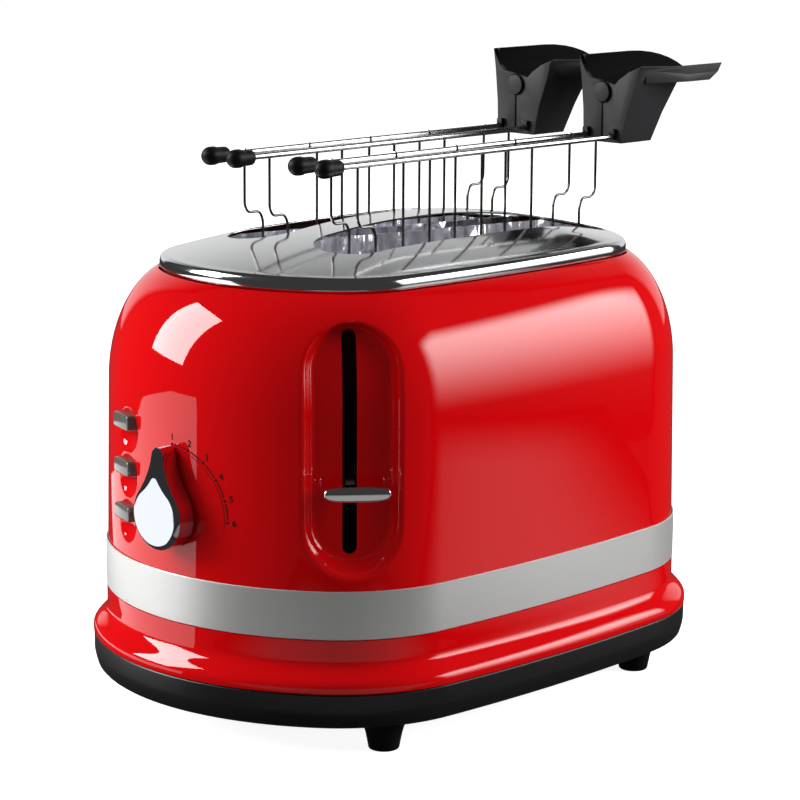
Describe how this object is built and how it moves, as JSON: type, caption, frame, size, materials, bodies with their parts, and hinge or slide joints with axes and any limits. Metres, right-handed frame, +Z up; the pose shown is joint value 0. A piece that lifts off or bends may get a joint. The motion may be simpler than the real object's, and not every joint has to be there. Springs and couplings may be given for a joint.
{
  "type": "two-slot toaster with sandwich tongs",
  "caption": "Oval two-slot toaster with a lever, a browning knob, push buttons and a pull-out crumb tray, and wire sandwich tongs standing in its slots.",
  "frame": {"origin": "centre of the bounding box in plan, on the table under the feet", "axes": "+X across the body towards the side with the lever, +Y along the body away from the control end, +Z up"},
  "size_m": [0.2006, 0.327, 0.2733],
  "materials": {
    "red_enamel": "high gloss enamel",
    "brushed_steel": "lengthways brushed",
    "polished_steel": "mirror polished steel",
    "chrome": "bright plated",
    "black_plastic": "satin moulded",
    "soft_black": "dull moulded",
    "bright_wire": "bright drawn wire",
    "plated_sheet": null,
    "mica": "mica sheet",
    "smoky_clear": "smoky clear plastic",
    "board_green": "circuit board",
    "copper_coil": "wound coil in a steel yoke"
  },
  "bodies": {
    "body": {"housing": "red_enamel", "trim_band": "brushed_steel", "top_plate": "polished_steel", "slot_liner_far": "plated_sheet", "slot_liner_near": "plated_sheet", "base": "black_plastic", "cord_gland": "soft_black", "foot_front_left": "soft_black", "foot_front_right": "soft_black", "foot_rear_left": "soft_black", "foot_rear_right": "soft_black", "front_end_plate": "plated_sheet", "rear_end_plate": "plated_sheet", "heater_far": "mica", "heater_middle": "mica", "heater_near": "mica", "bread_guard_far_left": "bright_wire", "bread_guard_far_right": "bright_wire", "bread_guard_near_left": "bright_wire", "bread_guard_near_right": "bright_wire", "guide_rod": "bright_wire", "lift_spring": "bright_wire", "latch_magnet": "copper_coil", "control_board": "board_green"},
    "crumb_tray": {"crumb_tray": "plated_sheet"},
    "carriage": {"carriage": "plated_sheet", "lever_paddle": "chrome"},
    "knob": {"browning_knob": "chrome", "knob_shaft": "plated_sheet"},
    "button_low": {"push_button_1": "smoky_clear"},
    "button_middle": {"push_button_2": "smoky_clear"},
    "button_high": {"push_button_3": "smoky_clear"},
    "tongs_far": {"tongs_far_pivot_pin": "black_plastic"},
    "tongs_far_left": {"tongs_far_handle_left": "black_plastic", "tongs_far_grid_left": "bright_wire", "tongs_far_cap_left": "soft_black"},
    "tongs_far_right": {"tongs_far_handle_right": "black_plastic", "tongs_far_grid_right": "bright_wire", "tongs_far_cap_right": "soft_black"},
    "tongs_near": {"tongs_near_pivot_pin": "black_plastic"},
    "tongs_near_left": {"tongs_near_handle_left": "black_plastic", "tongs_near_grid_left": "bright_wire", "tongs_near_cap_left": "soft_black"},
    "tongs_near_right": {"tongs_near_handle_right": "black_plastic", "tongs_near_grid_right": "bright_wire", "tongs_near_cap_right": "soft_black"}
  },
  "joints": [
    {"name": "crumb_tray_slide", "type": "slide", "parent": "body", "child": "crumb_tray", "axis": [0, 1, 0], "range_m": [0, 0.19]},
    {"name": "lever_slide", "type": "slide", "parent": "body", "child": "carriage", "axis": [0, 0, 1], "range_m": [-0.022, 0.058], "stiffness_N_per_m": 60, "springref_m": 0.02, "deforming": ["lift_spring"]},
    {"name": "knob_turn", "type": "hinge", "parent": "body", "child": "knob", "pos_m": [0, -0.1635, 0.0955], "axis": [0, 1, 0], "range_deg": [0, 90]},
    {"name": "button_low_press", "type": "slide", "parent": "body", "child": "button_low", "axis": [0.32, 0.9474, 0], "range_m": [0, 0.002], "stiffness_N_per_m": 600, "springref_m": -0.0005},
    {"name": "button_middle_press", "type": "slide", "parent": "body", "child": "button_middle", "axis": [0.32, 0.9474, 0], "range_m": [0, 0.002], "stiffness_N_per_m": 600, "springref_m": -0.0005},
    {"name": "button_high_press", "type": "slide", "parent": "body", "child": "button_high", "axis": [0.32, 0.9474, 0], "range_m": [0, 0.002], "stiffness_N_per_m": 600, "springref_m": -0.0005},
    {"name": "tongs_far_lift", "type": "slide", "parent": "carriage", "child": "tongs_far", "axis": [0, 0, 1], "range_m": [0, 0.13]},
    {"name": "tongs_far_right_jaw", "type": "hinge", "parent": "tongs_far", "child": "tongs_far_right", "pos_m": [-0.0255, 0.0895, 0.2572], "axis": [0, -1, 0], "range_deg": [0, 2.2]},
    {"name": "tongs_far_left_jaw", "type": "hinge", "parent": "tongs_far", "child": "tongs_far_left", "pos_m": [-0.0255, 0.0895, 0.2572], "axis": [0, 1, 0], "range_deg": [0, 2.2]},
    {"name": "tongs_near_lift", "type": "slide", "parent": "carriage", "child": "tongs_near", "axis": [0, 0, 1], "range_m": [0, 0.13]},
    {"name": "tongs_near_right_jaw", "type": "hinge", "parent": "tongs_near", "child": "tongs_near_right", "pos_m": [0.0271, 0.0895, 0.2572], "axis": [0, -1, 0], "range_deg": [0, 2.2]},
    {"name": "tongs_near_left_jaw", "type": "hinge", "parent": "tongs_near", "child": "tongs_near_left", "pos_m": [0.0271, 0.0895, 0.2572], "axis": [0, 1, 0], "range_deg": [0, 2.2]}
  ],
  "couplings": [
    {"joint": "tongs_far_left_jaw", "follows": "tongs_far_right_jaw", "ratio": 1},
    {"joint": "tongs_near_left_jaw", "follows": "tongs_near_right_jaw", "ratio": 1}
  ]
}
